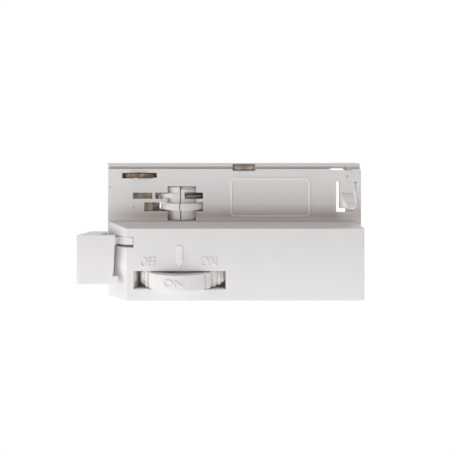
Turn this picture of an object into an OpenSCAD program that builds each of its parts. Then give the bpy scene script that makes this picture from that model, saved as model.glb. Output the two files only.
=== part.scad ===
// Track light adapter: wide base box, slim riser that enters the track, lock lever and circuit selector.
// Origin: axis of the lamp stem at the underside of the base. +X along the track, -Y the marked face, +Z up.
// All sizes in millimetres.

/* [Base box] */
// Stem axis to the lever end of the base
base_left = 63.8; // [61:0.2:70]
// Stem axis to the plain end of the base
base_right = 41.7; // [38.5:0.1:46]
// Width of the base across the track
base_w = 30; // [29:0.5:33]
// Height of the base at its outer edge
base_h = 28.8; // [28:0.1:31]
// Rise of the sloping shoulder up to the riser
shoulder_rise = 2.4; // [1.6:0.1:3.2]
// Length of the corner cut beside the lever, along the track
corner_cut_x = 10; // [8:0.2:10]
// Depth of that corner cut, across the track
corner_cut_y = 6; // [5.5:0.25:8]
// Wall thickness of the base box
base_wall = 2; // [1.6:0.1:2.4]
// Radius of the upright outer edges
edge_r = 0.9; // [0.6:0.1:1.4]
// Drop of the deck's underside below the base edge
deck_drop = 1.8; // [1.4:0.1:2]
// Thickness of that deck
deck_t = 2.6; // [2:0.1:3]

/* [Riser] */
// Width of the riser that enters the track slot
riser_w = 18; // [17:0.25:19]
// Amount the riser runs past the plain end of the base
riser_over = 1.2; // [0.4:0.1:2]
// Rise of the riser walls above the base edge
riser_rise = 24.15; // [23.7:0.05:27]
// Radius of the riser's upright edges
riser_edge_r = 0.5; // [0.3:0.1:0.9]
// Wall thickness of the riser
riser_wall = 1.5; // [1.2:0.1:1.8]

/* [Top cover] */
// Thickness of the top cover
lid_t = 2.55; // [2.2:0.05:3.2]
// Height of the shadow groove under the cover edge
seam_h = 1.1; // [0.5:0.1:1.2]
// Depth of that shadow groove
seam_in = 0.95; // [0.5:0.05:1.1]
// Setback of the cover from the plain end of the riser
lid_setback = 0.5; // [0.2:0.1:1]
// Radius of the cover's end corner seen from the side
lid_end_r = 1.2; // [0.6:0.1:1.6]
// Depth of the locating skirt inside the riser
skirt_h = 1.4; // [1:0.1:1.4]
// Thickness of that skirt
skirt_t = 1.2; // [1:0.1:1.5]

/* [Latch tongue and marks] */
// Stem axis to the middle of the spring tongue
tongue_x = 36.9; // [35:0.1:37.5]
// Width of the spring tongue
tongue_w = 5.8; // [5:0.1:6.4]
// Width of the slit round the tongue
slit_w = 1.7; // [1.2:0.1:1.9]
// Width of the slit at the tongue's right edge
right_slit_w = 1.4; // [1:0.1:1.6]
// Rise of the lower slit's underside above the base edge
slit_rise = 6; // [5.4:0.1:7]
// Rise of the top of both side slits above the base edge
slit_top_rise = 18.8; // [17.4:0.1:19.6]
// Depth of the small pit above the tongue
pit_in = 1.1; // [0.5:0.1:1.2]
// Drop of the far window below the slit
window_drop = 2.8; // [2.4:0.1:3]
// Length of the catch wedge on the tongue
wedge_h = 6; // [5:0.1:7]
// Height of the crease above the wedge
crease_h = 0.5; // [0.3:0.1:0.7]
// Depth of that crease
crease_in = 0.5; // [0.3:0.05:0.6]
// Projection of the catch wedge
wedge_out = 2.6; // [1.8:0.1:3]
// Left shift of the catch's nose from the tongue edge
wedge_side = 1.8; // [1:0.1:2.2]
// Stem axis to the middle of the framed panel
panel_x = 4.55; // [3:0.05:6]
// Length of the framed panel
panel_len = 33.5; // [30:0.5:36]
// Height of the framed panel
panel_h = 16.2; // [15:0.2:17]
// Rise of the middle of the framed panel above the base edge
panel_rise = 12.3; // [11.8:0.1:12.8]
// Corner radius of the framed panel
panel_r = 2; // [1.5:0.1:3]
// Width of the panel's raised line
panel_line = 0.7; // [0.5:0.1:1]
// Height of the panel's raised line
panel_up = 0.25; // [0.15:0.05:0.4]
// Left end of the notch in the wall top near the plain end
notch_x = 30.1; // [29:0.1:31]
// Length of that notch
notch_len = 8.8; // [8:0.1:9.4]
// Depth of that notch
notch_h = 0.5; // [0.4:0.1:0.9]
// Length of the cover's hook that drops into the notch
hook_len = 2.1; // [1.5:0.1:3]
// Left end of the cover's opening past that notch, beside the notch
open_lead = 0.4; // [0.2:0.1:0.6]
// Rise of that opening above the wall at the marked face
open_front_h = 0.2; // [0.1:0.05:0.3]
// Rise of that opening above the wall at the far face
open_back_h = 1; // [0.8:0.05:1.05]

/* [Lever and lock disc] */
// Lever end of the base to the lever axis
lever_in = 13.4; // [13:0.1:13.6]
// Lever end of the base to the outer edge of the lever handle
handle_reach = 10; // [9.5:0.1:12]
// Length of the handle's front plate along the track
handle_len = 15.4; // [14.6:0.1:16.2]
// Depth of the handle across the track
handle_deep = 9.6; // [9:0.1:10.4]
// Slant of the handle's outer wall over its depth
handle_slant = 1.6; // [1:0.1:2.4]
// Height of the handle's underside
handle_z = 6.5; // [5:0.1:7.5]
// Drop of the handle's top below the base edge
handle_drop = 2.6; // [2.5:0.1:3.2]
// Wall thickness of the handle
handle_wall = 1.6; // [1.3:0.1:1.9]
// Thickness of the handle's bottom plate
handle_floor = 3.3; // [2:0.1:4]
// Drop of the lever arm's underside below the base edge
arm_drop = 6.6; // [6.5:0.1:6.7]
// Thickness of the lever arm
arm_t = 3; // [2.6:0.1:3]
// Drop of the lever slot's underside below the base edge
lever_slot_drop = 7.6; // [6.8:0.1:7.8]
// Height of the lever slot
lever_slot_h = 4.3; // [4.2:0.1:4.5]
// Diameter of the round nub on top of the handle
nub_d = 3.6; // [3:0.1:4.4]
// Place of the nub round the lever axis, in degrees
nub_angle = 222.5; // [219:0.5:224]
// Height of the round nub
nub_h = 0.9; // [0.6:0.1:1.2]
// Setback of the edges of the lever arm's quarter disc from the lever axis
arm_edge = 1; // [0.8:0.1:1.4]
// Radius of the lever hub
hub_r = 5; // [4.4:0.1:5.6]
// Radius of the lever shaft in its deck bearing
lever_shaft_r = 2.5; // [2.2:0.1:2.8]
// Radius of the lever shaft in the riser
lever_post_r = 3.4; // [3:0.1:3.8]
// Projection of the lock disc past the riser face
lock_out = 1.2; // [0.8:0.1:1.6]
// Width of the lock disc between its flats
lock_w = 13; // [12.4:0.1:13.2]
// Offset of those flats from the lever axis, away from the stem
lock_shift = 0.4; // [0.2:0.1:0.5]
// Rise of the lock disc's underside above the base edge
lock_rise = 20.5; // [20:0.1:20.8]
// Thickness of the lock disc
lock_t = 1.7; // [1.4:0.1:1.8]
// Length of the slot for the lock disc
lock_slot_len = 14.7; // [14.4:0.1:16]

/* [Circuit selector] */
// Lever end of the base to the selector axis
selector_in = 31.2; // [30.8:0.1:32]
// Projection of the thumbwheel past the base face
wheel_out = 4; // [3:0.1:4.6]
// Height of the underside of the thumbwheel
wheel_z = 4.85; // [4.6:0.05:5.2]
// Thickness of the thumbwheel
wheel_t = 6.35; // [5.8:0.05:6.5]
// Angle between two grip grooves of the wheel
grip_pitch = 9.4; // [8:0.1:12]
// Width of a grip groove
grip_w = 1.2; // [0.8:0.1:1.4]
// Depth of a grip groove
grip_deep = 1.1; // [0.7:0.1:1.4]
// Left end of the smooth pad that is marked for the working position, in degrees
pad_left = -41; // [-44:1:-36]
// Right end of that pad
pad_right = 33.5; // [30:0.5:36]
// Turn of the selector from working to off, in degrees
selector_turn = 105; // [100:1:110]
// Length of the wheel window in the base wall
window_len = 36.9; // [34:0.1:37.4]
// Height of the underside of that window
window_z = 4.5; // [3.8:0.1:4.5]
// Height of the wheel window
window_h = 7.4; // [7.2:0.1:8]
// Gap between the wheel's rim and the walls of its well
well_gap = 0.5; // [0.3:0.1:0.8]
// Thickness of those walls
well_t = 1.2; // [1:0.1:1.4]
// Rise of those walls above the wheel window
well_up = 2; // [1:0.1:3]
// Radius of the selector shaft
selector_shaft_r = 2.5; // [2.2:0.1:2.8]
// Length of the rotor opening in the riser wall
opening_len = 12; // [11.4:0.1:13]
// Height of the rotor opening
opening_h = 14.4; // [14.2:0.1:14.8]
// Setback of the rotor barrel behind the riser face
rotor_back = 0.5; // [0.3:0.05:0.8]
// Projection of the rotor's thick middle past the riser face
middle_out = 0.3; // [0.1:0.05:0.35]
// Rise of the top of that middle above the base edge
middle_rise = 15.6; // [15:0.1:15.9]
// Width of the split between both rotor halves
rotor_split = 0.4; // [0.2:0.1:0.8]
// Offset of that split from the selector axis
split_x = -0.5; // [-0.9:0.1:-0.3]
// Projection of the lower rotor flange past the riser face
low_flange_out = 2; // [1.6:0.1:2.2]
// Projection of the upper rotor flange past the riser face
flange_out = 0.4; // [0.2:0.1:0.5]
// Shift of the upper flange from the selector axis, away from the stem
flange_shift = 2.6; // [2.4:0.1:2.7]
// Projection of the contact blades past the riser face
blade_out = 1.9; // [1.5:0.1:2]
// Rise of the lower flange's underside above the base edge
low_flange_rise = 7; // [6.8:0.05:7.2]
// Thickness of the lower flange
low_flange_t = 2.7; // [2.4:0.1:2.7]
// Rise of the upper flange's underside above the base edge
up_flange_rise = 11.95; // [11.9:0.05:12.05]
// Thickness of the upper flange
up_flange_t = 1.9; // [1.6:0.1:1.9]
// Rise of the lower contact slot's underside above the base edge
low_slot_rise = 6.4; // [6.2:0.05:6.5]
// Height of the lower contact slot
low_slot_h = 3.7; // [3.6:0.1:4]
// Rise of the upper contact slot's underside above the base edge
up_slot_rise = 11.6; // [11.4:0.05:11.6]
// Height of the upper contact slot
up_slot_h = 2.6; // [2.6:0.1:2.9]
// Selector axis to the right end of both contact slots
slot_right = 8.9; // [8.7:0.1:9.6]
// Selector axis to the left end of both contact slots on the plain side
back_slot_left = 10.4; // [10:0.1:10.8]
// Selector axis to the left end of the lower contact slot
low_slot_left = 15.8; // [15:0.1:16.6]
// Selector axis to the left end of the upper contact slot
up_slot_left = 20.6; // [19.6:0.1:21.4]
// Selector axis to the rib that crosses the upper slot
slot_rib_x = 11.8; // [11.4:0.1:12.4]
// Width of that rib
slot_rib_w = 1; // [0.8:0.1:1.4]
// Thickness of the rotor's contact blades
blade_t = 0.8; // [0.5:0.1:1]
// Thickness of the brass contact strips
strip_t = 0.6; // [0.4:0.1:0.8]

/* [Stem, earth and terminals] */
// Inner radius of the stem thread
stem_r = 4.5; // [4:0.1:5]
// Outer radius of the stem bush
bush_r = 6.2; // [5.8:0.1:6.6]
// Radius of the bush flange
bush_flange_r = 8; // [7.5:0.1:8.5]
// Height of the stem bush
bush_h = 11; // [9:0.2:13]
// Thickness of the base cover
cover_t = 2; // [1.6:0.1:2.2]
// Left end of the earth clip
earth_x = -10.9; // [-12:0.1:-10]
// Length of the earth clip
earth_len = 9; // [8.4:0.1:10]
// Height of the earth clip leaf
earth_h = 2.3; // [2:0.1:2.5]
// Drop of the earth clip below the wall top
earth_drop = 0.5; // [0.4:0.05:0.7]
// Sheet thickness of the earth clip
earth_t = 0.5; // [0.4:0.05:0.6]
// Depth of the recess that takes the earth clip leaf
earth_recess = 0.75; // [0.65:0.05:0.9]
// Gap round the earth clip leaf
earth_gap = 0.35; // [0.2:0.05:0.4]
// Stem axis to the near end of the terminal block
block_x = 13; // [11:0.2:13.4]
// Length of the terminal block
block_len = 18; // [16:0.2:18.6]
// Width of the terminal block
block_w = 20; // [18:0.2:22]
// Height of the terminal block
block_h = 12; // [10:0.2:14]
// Spacing of the terminal ways
way_pitch = 6; // [5.6:0.1:6.4]

/* [Screws and detent] */
// Radius of a cover screw
screw_r = 1.3; // [1.1:0.1:1.4]
// Radius of a cover screw's head
screw_head_r = 2.4; // [2:0.1:2.5]
// Length of a cover screw in its post
screw_len = 8; // [6:0.5:9]
// Bite of a screw in its hole
screw_grip = 0.05; // [0.02:0.01:0.08]
// Radius of a screw post
boss_r = 2.6; // [2.3:0.1:2.7]
// Radius of the detent cam
cam_r = 6; // [5.4:0.1:6.4]
// Gap from the thumbwheel up to the detent cam
cam_gap = 2.8; // [2:0.1:3.4]
// Thickness of the detent cam
cam_t = 4; // [3:0.1:4.4]
// Radius of the detent seat and nose
seat_r = 0.8; // [0.6:0.1:1]
// Sheet thickness of the detent spring
spring_t = 0.4; // [0.3:0.05:0.6]
// Width of the detent spring
spring_w = 5; // [4:0.1:6]
// Radius of a wire way in the terminal block
way_r = 1.7; // [1.4:0.1:1.9]
// Radius of a terminal screw
clamp_r = 1.9; // [1.6:0.1:2.1]
// Terminal block end to its screws
clamp_x = 5; // [4:0.1:6]
// Length of a terminal screw
clamp_len = 4.5; // [4:0.1:5]

/* [Fits] */
// Radial clearance of a shaft in its bearing
run_gap = 0.06; // [0.03:0.01:0.09]
// Gap between moving faces
move_gap = 0.3; // [0.25:0.01:0.35]
// End play of a shaft
end_play = 0.15; // [0.1:0.01:0.2]
// Gap round a fitted cover
fit_gap = 0.12; // [0.05:0.01:0.2]

/* [Hidden] */
$fn = 64;
half_base = base_w / 2;
deck_z = base_h - deck_drop;
riser_top = base_h + riser_rise;
slit_z = base_h + slit_rise;
slit_top = base_h + slit_top_rise;
panel_z = base_h + panel_rise;
handle_top = base_h - handle_drop;
arm_z = base_h - arm_drop;
lever_slot_z = base_h - lever_slot_drop;
lock_z = base_h + lock_rise;
low_flange_z = base_h + low_flange_rise;
up_flange_z = base_h + up_flange_rise;
low_slot_z = base_h + low_slot_rise;
up_slot_z = base_h + up_slot_rise;
half_riser = riser_w / 2;
lever_x = lever_in - base_left;
selector_x = selector_in - base_left;
shoulder_z = base_h + shoulder_rise;
deck_top = deck_z + deck_t;
riser_right = base_right + riser_over;
riser_in = half_riser - riser_wall;
lid_z = riser_top;
top_z = riser_top + lid_t;
cut_len = norm([corner_cut_x, corner_cut_y]);
// Largest reach of a base corner from the lever axis, which the lever swings round
corner_a = norm([lever_in - corner_cut_x, half_base]);
corner_b = norm([lever_in, half_base - corner_cut_y]);
swing_r = max(corner_a, corner_b) + move_gap;
wheel_r = half_base + wheel_out;
well_r = wheel_r + well_gap;
rotor_r = half_riser - rotor_back;
flange_r = half_riser + flange_out;
blade_r = half_riser + blade_out;
lock_r = half_riser + lock_out;
rotor_z = shoulder_z + move_gap;
rotor_top = shoulder_z + opening_h - move_gap;
collar_r = riser_in - 1;
blade_z = up_flange_z + (up_flange_t - blade_t) / 2;
cam_z = wheel_z + wheel_t + cam_gap;
boss_left_x = base_wall + boss_r - base_left + 0.4;
boss_right_x = base_right - base_wall - boss_r - 0.4;

// Points of a convex outline with every corner rounded
function unit(v) = v / norm(v);
function corner_points(a, b, c, r, n) =
    let (u = unit(a - b), v = unit(c - b), half = acos(u * v) / 2,
         m = b + unit(u + v) * r / sin(half),
         p = b + u * r / tan(half) - m, q = b + v * r / tan(half) - m,
         from = atan2(p.y, p.x), turn = (atan2(q.y, q.x) - from + 540) % 360 - 180)
    [for (i = [0:n]) m + r * [cos(from + turn * i / n), sin(from + turn * i / n)]];
function rounded(pts, r, n = 5) =
    [for (i = [0:len(pts) - 1])
        each corner_points(pts[(i + len(pts) - 1) % len(pts)], pts[i], pts[(i + 1) % len(pts)], r, n)];

// Where the corner cut meets the long side and the end, for an outline set in by d
function cut_side(d) = (corner_cut_y * d - corner_cut_x * d * (cut_len - corner_cut_x) / corner_cut_y) / cut_len;
function cut_end(d) = (corner_cut_x * d + corner_cut_y * d * (corner_cut_y - cut_len) / corner_cut_x) / cut_len;
function base_corners(d) =
    let (y = half_base - d, xs = corner_cut_x - base_left + cut_side(d), xe = d - base_left,
         ye = half_base - corner_cut_y - cut_end(d), xr = base_right - d)
    [[xr, -y], [xr, y], [xs, y], [xe, ye], [xe, -ye], [xs, -y]];

module base_plan(d = 0) {
    polygon(rounded(base_corners(d), max(edge_r - d, 0.4)));
}

module riser_plan(d = 0, right = riser_right) {
    x0 = d - base_left;
    x1 = right - d;
    y = half_riser - d;
    polygon(rounded([[x1, -y], [x1, y], [x0, y], [x0, -y]], max(riser_edge_r - d, 0.3)));
}

// Extrude a profile drawn as (y, z) along the track
module along_x(x0, x1) {
    translate([x0, 0, 0]) rotate([90, 0, 90]) linear_extrude(x1 - x0) children();
}

// Extrude a profile drawn as (x, z) across the track
module across_y(y0, y1) {
    translate([0, y1, 0]) rotate([90, 0, 0]) linear_extrude(y1 - y0) children();
}

module slab(x0, x1, y0, y1, z0, z1) {
    translate([x0, y0, z0]) cube([x1 - x0, y1 - y0, z1 - z0]);
}

module rod(x, z0, z1, r, y = 0) {
    translate([x, y, z0]) cylinder(r = r, h = z1 - z0);
}

module both_sides() {
    children();
    mirror([0, 1, 0]) children();
}

module round_box(w, h, r) {
    square([w - 2 * r, h], center = true);
    square([w, h - 2 * r], center = true);
    for (i = [-1, 1], j = [-1, 1]) translate([i * (w / 2 - r), j * (h / 2 - r)]) circle(r);
}

// Wide box with its sloping shoulders
module base_shell() {
    intersection() {
        linear_extrude(shoulder_z) base_plan();
        along_x(-base_left, base_right)
            polygon([[-half_base, 0], [half_base, 0], [half_base, base_h], [half_riser, shoulder_z],
                     [-half_riser, shoulder_z], [-half_base, base_h]]);
        across_y(-half_base, half_base)
            polygon([[-base_left, 0], [base_right, 0], [base_right, base_h],
                     [base_right - shoulder_rise, shoulder_z], [-base_left, shoulder_z]]);
    }
}

// Cuts in one long side of the riser
module riser_cuts() {
    y0 = -half_riser - 1;
    y1 = 0.01 - riser_in;
    slab(lever_x - lock_slot_len / 2, lever_x + lock_slot_len / 2, y0, y1,
         lock_z - move_gap, lock_z + lock_t + move_gap);
    slab(selector_x - opening_len / 2, selector_x + opening_len / 2, y0, y1, shoulder_z, shoulder_z + opening_h);
    slab(selector_x - back_slot_left, selector_x + slot_right, y0, y1, low_slot_z, low_slot_z + low_slot_h);
    slab(selector_x - back_slot_left, selector_x + slot_right, y0, y1, up_slot_z, up_slot_z + up_slot_h);
    slab(notch_x, notch_x + notch_len, y0, y1, riser_top - notch_h, riser_top + 1);
    slab(earth_x - fit_gap, earth_x + earth_len + fit_gap, y0, y1, riser_top - earth_drop, riser_top + 1);
    slab(earth_x - earth_gap, earth_x + earth_len + earth_gap, y0, earth_recess - half_riser,
         riser_top - earth_drop - earth_gap, riser_top + 1);
}

// Left parts of the contact slots, on the marked side only, with the rib that crosses the upper one
module strip_cuts() {
    y0 = -half_riser - 1;
    y1 = 0.01 - riser_in;
    slab(selector_x - low_slot_left, selector_x - back_slot_left + 0.01, y0, y1, low_slot_z, low_slot_z + low_slot_h);
    slab(selector_x - slot_rib_x + slot_rib_w / 2, selector_x - back_slot_left + 0.01, y0, y1,
         up_slot_z, up_slot_z + up_slot_h);
    slab(selector_x - up_slot_left, selector_x - slot_rib_x - slot_rib_w / 2, y0, y1,
         up_slot_z, up_slot_z + up_slot_h);
}

// U-shaped slit that frees the tongue, the crease above its wedge and the small pit above it
module tongue_cuts() {
    y0 = -half_riser - 1;
    y1 = 0.01 - riser_in;
    left = tongue_x - tongue_w / 2;
    right = tongue_x + tongue_w / 2;
    slab(left - slit_w, left, y0, y1, slit_z, slit_top);
    slab(right, right + right_slit_w, y0, y1, slit_z, slit_top);
    slab(left - slit_w, right + right_slit_w, y0, y1, slit_z, slit_z + slit_w);
    slab(left + wedge_side / 2, right + 0.1, y0, crease_in - half_riser,
         slit_z + slit_w + wedge_h, slit_z + slit_w + wedge_h + crease_h);
    translate([tongue_x, pit_in - half_riser, slit_top + 2.2]) rotate([90, 0, 0]) cylinder(r = 0.55, h = 2);
}

// Window in the far wall through which the tongue is moulded and seen
module tongue_window() {
    slab(tongue_x + tongue_w / 2 - slit_w, tongue_x + tongue_w / 2 + slit_w, riser_in - 0.01, half_riser + 1,
         slit_z - 0.6, slit_top + 0.6);
    slab(tongue_x + tongue_w / 2 - slit_w, riser_right - riser_wall - 0.3, riser_in - 0.01, half_riser + 1,
         slit_z - window_drop, slit_z + 0.4);
    slab(riser_right - riser_wall - 0.5, riser_right + 1, half_riser / 2, half_riser + 1,
         slit_z - window_drop, slit_z + 0.4);
}

// Catch wedge on the tongue, thickest at its lower end
module catch_wedge() {
    z0 = slit_z + slit_w;
    left = tongue_x - tongue_w / 2;
    right = tongue_x + tongue_w / 2;
    root = 0.1 - half_riser;
    nose = -half_riser - wedge_out;
    intersection() {
        along_x(left, right) polygon([[root, z0], [nose, z0 + 0.5], [nose, z0 + 1.3], [root, z0 + wedge_h]]);
        linear_extrude(riser_top)
            polygon([[left + 0.2, root], [right, root], [right - 0.3, nose], [left + wedge_side, nose]]);
    }
}

module panel_frame() {
    translate([panel_x, -half_riser + 0.1, panel_z]) rotate([90, 0, 0]) linear_extrude(panel_up + 0.1) difference() {
        round_box(panel_len, panel_h, panel_r);
        round_box(panel_len - 2 * panel_line, panel_h - 2 * panel_line, panel_r - panel_line);
    }
}

module housing() {
    color([0.93, 0.93, 0.92]) {
        difference() {
            union() {
                base_shell();
                translate([0, 0, base_h - 1]) linear_extrude(riser_top - base_h + 1) riser_plan();
            }
            translate([0, 0, -1]) linear_extrude(deck_z + 1) base_plan(base_wall);
            translate([0, 0, deck_top]) linear_extrude(riser_top) riser_plan(riser_wall);
            rod(lever_x, deck_z - 1, deck_top + 1, lever_shaft_r + run_gap);
            rod(selector_x, deck_z - 1, deck_top + 1, selector_shaft_r + run_gap);
            slab(selector_x - window_len / 2, selector_x + window_len / 2, -base_w, base_w, window_z, window_z + window_h);
            slab(-base_left - 1, lever_x - arm_edge + 0.4, -base_w, 0.01, lever_slot_z, lever_slot_z + lever_slot_h);
            slab(-base_left - 1, lever_x + arm_edge + 0.4, 0, base_w, lever_slot_z, lever_slot_z + lever_slot_h);
            both_sides() riser_cuts();
            strip_cuts();
            tongue_cuts();
            tongue_window();
        }
        catch_wedge();
        panel_frame();
        // Posts that take the cover screws, each tied to its end wall
        difference() {
            union() {
                rod(boss_left_x, cover_t, lever_slot_z - 0.8, boss_r);
                slab(-base_left + base_wall / 2, boss_left_x, -1, 1, cover_t, lever_slot_z - 0.8);
            }
            rod(boss_left_x, 0, cover_t + screw_len + 1, screw_r - screw_grip);
        }
        difference() {
            union() {
                rod(boss_right_x, cover_t, deck_z + 0.5, boss_r);
                slab(boss_right_x, base_right - base_wall / 2, -1, 1, cover_t, deck_z + 0.5);
            }
            rod(boss_right_x, 0, cover_t + screw_len + 1, screw_r - screw_grip);
        }
        // Block that backs the detent spring
        slab(selector_x + cam_r + move_gap + seat_r + spring_t, selector_x + cam_r + move_gap + seat_r + spring_t + 2.2,
             -spring_w / 2 - 1, spring_w / 2 + 1, cam_z + cam_t + 2, deck_z + 0.5);
        // Walls of the wheel well
        for (side = [-1, 1]) slab(selector_x + side * (well_r + well_t / 2) - well_t / 2, selector_x + side * (well_r + well_t / 2) + well_t / 2,
                                  base_wall / 2 - half_base, half_base - base_wall / 2, cover_t + fit_gap, window_z + window_h + well_up);
        // Stiffening ribs under the deck, beside the stem
        for (x = [-9, 9]) slab(x - 0.6, x + 0.6, base_wall / 2 - half_base, half_base - base_wall / 2, deck_z - 3, deck_z + 0.5);
    }
}

module lid_plan(d) {
    riser_plan(d, riser_right - lid_setback);
}

// Opening of the cover over the wall notch, through which one sees past the far corner
module lid_opening() {
    x0 = notch_x - open_lead;
    low = lid_z - skirt_h - 1;
    gap = [[-half_riser - 1, low], [half_riser + 1, low], [half_riser + 1, lid_z + open_back_h],
           [-half_riser - 1, lid_z + open_front_h]];
    along_x(x0, notch_x + notch_len - hook_len) polygon(gap);
    intersection() {
        along_x(x0, riser_right + 1) polygon(gap);
        slab(x0, riser_right + 1, -half_riser / 2, half_riser + 1, low, top_z);
    }
}

module top_cover() {
    color([0.91, 0.91, 0.9]) {
        // Hook in the wall notch
        slab(notch_x + notch_len - hook_len, notch_x + notch_len - fit_gap,
             -half_riser + 0.1, -riser_in + 0.1 - fit_gap, lid_z - notch_h + 0.1, lid_z + seam_h + 0.1);
        difference() {
            union() {
                intersection() {
                    union() {
                        translate([0, 0, lid_z]) linear_extrude(seam_h) lid_plan(seam_in);
                        slab(-base_left, lever_x, seam_in - half_riser, half_riser - seam_in,
                             lid_z, lid_z + seam_h);
                        slab(notch_x + notch_len, riser_right, seam_in / 2 - half_riser, 0,
                             lid_z, lid_z + seam_h);
                        translate([0, 0, lid_z + seam_h]) linear_extrude(lid_t - seam_h) lid_plan(0);
                    }
                    across_y(-half_riser, half_riser) {
                        x1 = riser_right - lid_setback;
                        polygon(concat([[-base_left, top_z], [-base_left, lid_z], [x1, lid_z]],
                                       corner_points([x1, lid_z], [x1, top_z], [-base_left, top_z], lid_end_r, 6)));
                    }
                }
                // Locating skirt
                translate([0, 0, lid_z - skirt_h]) linear_extrude(skirt_h + 0.2) difference() {
                    riser_plan(riser_wall + fit_gap);
                    riser_plan(riser_wall + fit_gap + skirt_t);
                }
                // Upper bearings of both shafts
                rod(lever_x, lock_z + lock_t + move_gap, lid_z + 0.2, lever_shaft_r + 2);
                rod(selector_x, rotor_top + 1.6 + end_play, lid_z + 0.2, selector_shaft_r + 2);
            }
            lid_opening();
            rod(lever_x, lock_z, lid_z + 0.9, lever_shaft_r - 0.1 + run_gap);
            rod(selector_x, rotor_top, lid_z + 0.4, selector_shaft_r + run_gap);
            // Room for the earth clip and its strap
            both_sides() slab(earth_x - earth_gap, earth_x + earth_len + earth_gap, -half_riser - 1, earth_recess - half_riser,
                              lid_z - 0.01, lid_z - earth_drop + earth_h + earth_gap / 2);
            slab(earth_x + 2 - fit_gap, earth_x + 7 + fit_gap, -half_riser - 1, half_riser + 1,
                 lid_z - skirt_h - 1, lid_z - earth_drop + earth_t + fit_gap);
        }
    }
}

module base_cover() {
    color([0.9, 0.9, 0.89]) difference() {
        union() {
            linear_extrude(cover_t) base_plan(base_wall + fit_gap);
            rod(selector_x, cover_t - 0.1, wheel_z - end_play, selector_shaft_r + 2.2);
            // Ribs that locate the terminal block
            for (y = [-1, 1]) slab(block_x, block_x + block_len, y * (block_w / 2 + 0.6 + fit_gap) - 0.6,
                                   y * (block_w / 2 + 0.6 + fit_gap) + 0.6, cover_t - 0.1, cover_t + 3);
        }
        rod(selector_x, 0.8, wheel_z + 1, selector_shaft_r + run_gap);
        rod(0, -1, cover_t + 1, bush_r + fit_gap);
        for (x = [boss_left_x, boss_right_x]) {
            rod(x, -1, cover_t + 1, screw_r + fit_gap);
            translate([x, 0, -0.01]) cylinder(r1 = screw_head_r + fit_gap, r2 = screw_r + fit_gap, h = 1.2);
        }
    }
}

module cover_screws() {
    color([0.7, 0.7, 0.72]) for (x = [boss_left_x, boss_right_x]) difference() {
        union() {
            translate([x, 0, 0.1]) cylinder(r1 = screw_head_r, r2 = screw_r, h = 1.1);
            rod(x, 0.6, cover_t + screw_len, screw_r);
        }
        for (a = [0, 90]) translate([x, 0, 0]) rotate([0, 0, a]) cube([2.6, 0.6, 1.4], center = true);
    }
}

module stem_bush() {
    color([0.72, 0.72, 0.74]) difference() {
        union() {
            rod(0, 0.1, bush_h, bush_r);
            rod(0, cover_t, cover_t + 2, bush_flange_r);
        }
        rod(0, -1, bush_h + 1, stem_r);
    }
}

module earth_leaf() {
    z0 = riser_top - earth_drop;
    across_y(-half_riser - 0.1, earth_t - half_riser - 0.1)
        polygon([[earth_x, z0], [earth_x + earth_len - 1.2, z0], [earth_x + earth_len, z0 + earth_h], [earth_x, z0 + earth_h]]);
}

module earth_clip() {
    color([0.6, 0.54, 0.46]) {
        both_sides() earth_leaf();
        slab(earth_x + 2, earth_x + 7, 0.1 - half_riser, half_riser - 0.1,
             riser_top - earth_drop, riser_top - earth_drop + earth_t);
    }
}

// Plan of the handle set in by d on its three outer walls, in the locked position
module handle_plan(d, bite = swing_r) {
    x0 = -base_left - handle_reach;
    y0 = -half_base;
    difference() {
        polygon([[x0 + d * 1.05 + handle_slant * d / handle_deep, y0 + d], [x0 + handle_len, y0 + d],
                 [lever_x, y0 + handle_deep - d], [x0 + handle_slant - d * 0.1, y0 + handle_deep - d]]);
        translate([lever_x, 0]) circle(bite, $fn = 96);
        translate([x0 + handle_len, y0 - 1]) square([handle_len, handle_deep]);
    }
}

module lever() {
    x0 = -base_left - handle_reach;
    color([0.92, 0.92, 0.91]) difference() {
        union() {
            difference() {
                translate([0, 0, handle_z]) linear_extrude(handle_top - handle_z) handle_plan(0);
                translate([0, 0, handle_z + handle_floor]) linear_extrude(arm_z - handle_z - handle_floor) handle_plan(handle_wall);
                // Slanting right edge of the front plate
                across_y(-half_base - 1, 0)
                    polygon([[x0 + handle_len + 0.01, handle_top + 1], [x0 + handle_len + 1, handle_z + handle_floor],
                             [x0 + handle_len - 1.1, handle_z + handle_floor]]);
            }
            // Toe of the bottom plate
            translate([0, 0, handle_z + 0.2]) linear_extrude(handle_floor - 0.2) difference() {
                translate([x0 + handle_len - 3, -half_base]) square([4.9, 4]);
                translate([lever_x, 0]) circle(swing_r, $fn = 96);
            }
            // Arm: a quarter disc in the housing slot that joins hub and handle
            translate([0, 0, arm_z]) linear_extrude(arm_t) {
                intersection() {
                    translate([lever_x, 0]) circle(half_base - 0.4, $fn = 96);
                    translate([lever_x - base_w, arm_edge - base_w]) square([base_w - arm_edge, base_w]);
                }
                intersection() {
                    handle_plan(0, min(swing_r - 2, half_base - 1.4));
                    translate([lever_x, 0]) circle(swing_r + 1, $fn = 96);
                }
            }
            rod(lever_x, arm_z - 2.7, deck_z - end_play, hub_r);
            // Finger nub
            rotate_about(lever_x, nub_angle)
                rod(lever_x + swing_r + nub_d / 2 + 0.6, handle_top - 0.5, handle_top + nub_h, nub_d / 2);
        }
        rod(lever_x, 0, deck_z + 1, lever_shaft_r);
    }
}

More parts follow.
